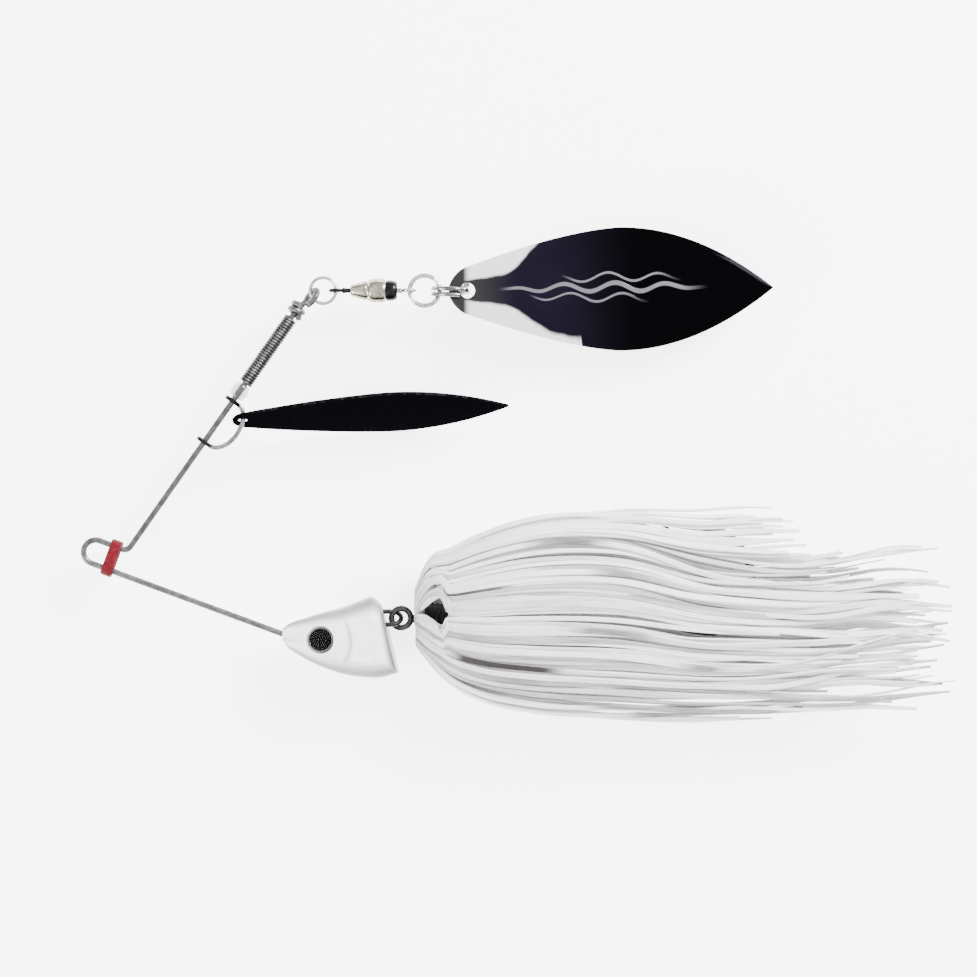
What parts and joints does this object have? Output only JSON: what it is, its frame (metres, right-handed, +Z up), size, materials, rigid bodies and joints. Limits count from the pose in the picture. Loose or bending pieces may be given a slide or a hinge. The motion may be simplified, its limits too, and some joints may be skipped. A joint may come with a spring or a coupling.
{
  "type": "spinnerbait",
  "caption": "Tandem willow-blade spinnerbait: bent wire arm, clevis and ball-bearing swivel blades, fish-shaped lead head and a skirted swinging hook.",
  "frame": {"origin": "middle of the flat on the head's lower cheek, which the lure rests on", "axes": "+X from the head to the skirt's tips, +Y from the hook to the blades, +Z up, across the lure's thickness"},
  "size_m": [0.1449, 0.0817, 0.0166],
  "materials": {
    "steel": "bright drawn stainless spring wire",
    "dark_steel": "smoke-grey plated steel",
    "nickel": "polished nickel over brass",
    "black_nickel": "mirror black nickel",
    "black_paint": "gloss black",
    "pearl_paint": "pearl white gloss paint over cast lead",
    "red_rubber": "soft red silicone sleeve",
    "black_rubber": "matt black rubber",
    "silicone": "white and pearl silicone strands",
    "iris": "silver foil",
    "clear": "clear resin"
  },
  "bodies": {
    "root": {"main_wire": "steel", "head": "pearl_paint", "hook_hanger": "steel", "eye_iris_left": "iris", "eye_iris_right": "iris", "eye_pupil_left": "black_paint", "eye_pupil_right": "black_paint", "eye_lens_left": "clear", "eye_lens_right": "clear"},
    "band": {"tie_band": "red_rubber"},
    "clevis": {"clevis": "steel"},
    "small_blade": {"small_blade": "black_paint"},
    "bead": {"arm_bead": "clear"},
    "sleeve": {"arm_sleeve": "dark_steel"},
    "front_ring": {"front_ring": "steel"},
    "swivel": {"swivel_barrel": "nickel", "swivel_cap": "dark_steel", "swivel_front_eye": "steel", "swivel_ball_1": "steel", "swivel_ball_2": "steel", "swivel_ball_3": "steel", "swivel_ball_4": "steel", "swivel_ball_5": "steel", "swivel_ball_6": "steel"},
    "swivel_shaft": {"swivel_rear_eye": "steel"},
    "rear_ring": {"rear_ring": "steel"},
    "split_ring": {"split_ring": "steel"},
    "big_blade": {"big_blade": "black_nickel"},
    "hook": {"hook": "dark_steel", "skirt_core": "black_rubber", "skirt_collar": "black_rubber", "skirt_upper_1": "silicone", "skirt_upper_2": "silicone", "skirt_upper_3": "silicone", "skirt_upper_4": "silicone", "skirt_lower_1": "silicone", "skirt_lower_2": "silicone", "skirt_lower_3": "silicone", "skirt_lower_4": "silicone"}
  },
  "joints": [
    {"name": "band_slide", "type": "slide", "parent": "root", "child": "band", "axis": [-0.9379, 0.3469, 0], "range_m": [0, 0.001]},
    {"name": "clevis_spin", "type": "hinge", "parent": "root", "child": "clevis", "pos_m": [-0.0227, 0.0364, 0.006], "axis": [0.5736, 0.8192, 0], "continuous": true},
    {"name": "small_blade_lift", "type": "hinge", "parent": "clevis", "child": "small_blade", "pos_m": [-0.01866, 0.03662, 0.006], "axis": [-0.169, -0.9856, 0], "range_deg": [-25, 45]},
    {"name": "bead_spin", "type": "hinge", "parent": "root", "child": "bead", "pos_m": [-0.0227, 0.0364, 0.006], "axis": [0.5736, 0.8192, 0], "continuous": true},
    {"name": "sleeve_spin", "type": "hinge", "parent": "root", "child": "sleeve", "pos_m": [-0.0227, 0.0364, 0.006], "axis": [0.5736, 0.8192, 0], "continuous": true},
    {"name": "front_ring_swing", "type": "hinge", "parent": "root", "child": "front_ring", "pos_m": [-0.00727, 0.05703, 0.006], "axis": [0, 0, 1], "range_deg": [-6, 28]},
    {"name": "swivel_lift", "type": "hinge", "parent": "front_ring", "child": "swivel", "pos_m": [-0.00315, 0.05822, 0.006], "axis": [0, -1, 0], "range_deg": [-35, 35]},
    {"name": "swivel_spin", "type": "hinge", "parent": "swivel", "child": "swivel_shaft", "pos_m": [-0.00075, 0.05822, 0.006], "axis": [1, 0, 0], "continuous": true},
    {"name": "rear_ring_swing", "type": "hinge", "parent": "swivel_shaft", "child": "rear_ring", "pos_m": [0.009, 0.05822, 0.006], "axis": [0, 0, 1], "range_deg": [-22, 22]},
    {"name": "split_ring_lift", "type": "hinge", "parent": "rear_ring", "child": "split_ring", "pos_m": [0.0141, 0.05822, 0.006], "axis": [0, -1, 0], "range_deg": [-35, 35]},
    {"name": "big_blade_swing", "type": "hinge", "parent": "split_ring", "child": "big_blade", "pos_m": [0.01875, 0.05822, 0.006], "axis": [0, 0, 1], "range_deg": [-25, 25]},
    {"name": "hook_swing", "type": "hinge", "parent": "root", "child": "hook", "pos_m": [0.0077, 0.00367, 0.006], "axis": [0, 0, 1], "range_deg": [-20, 20]}
  ]
}
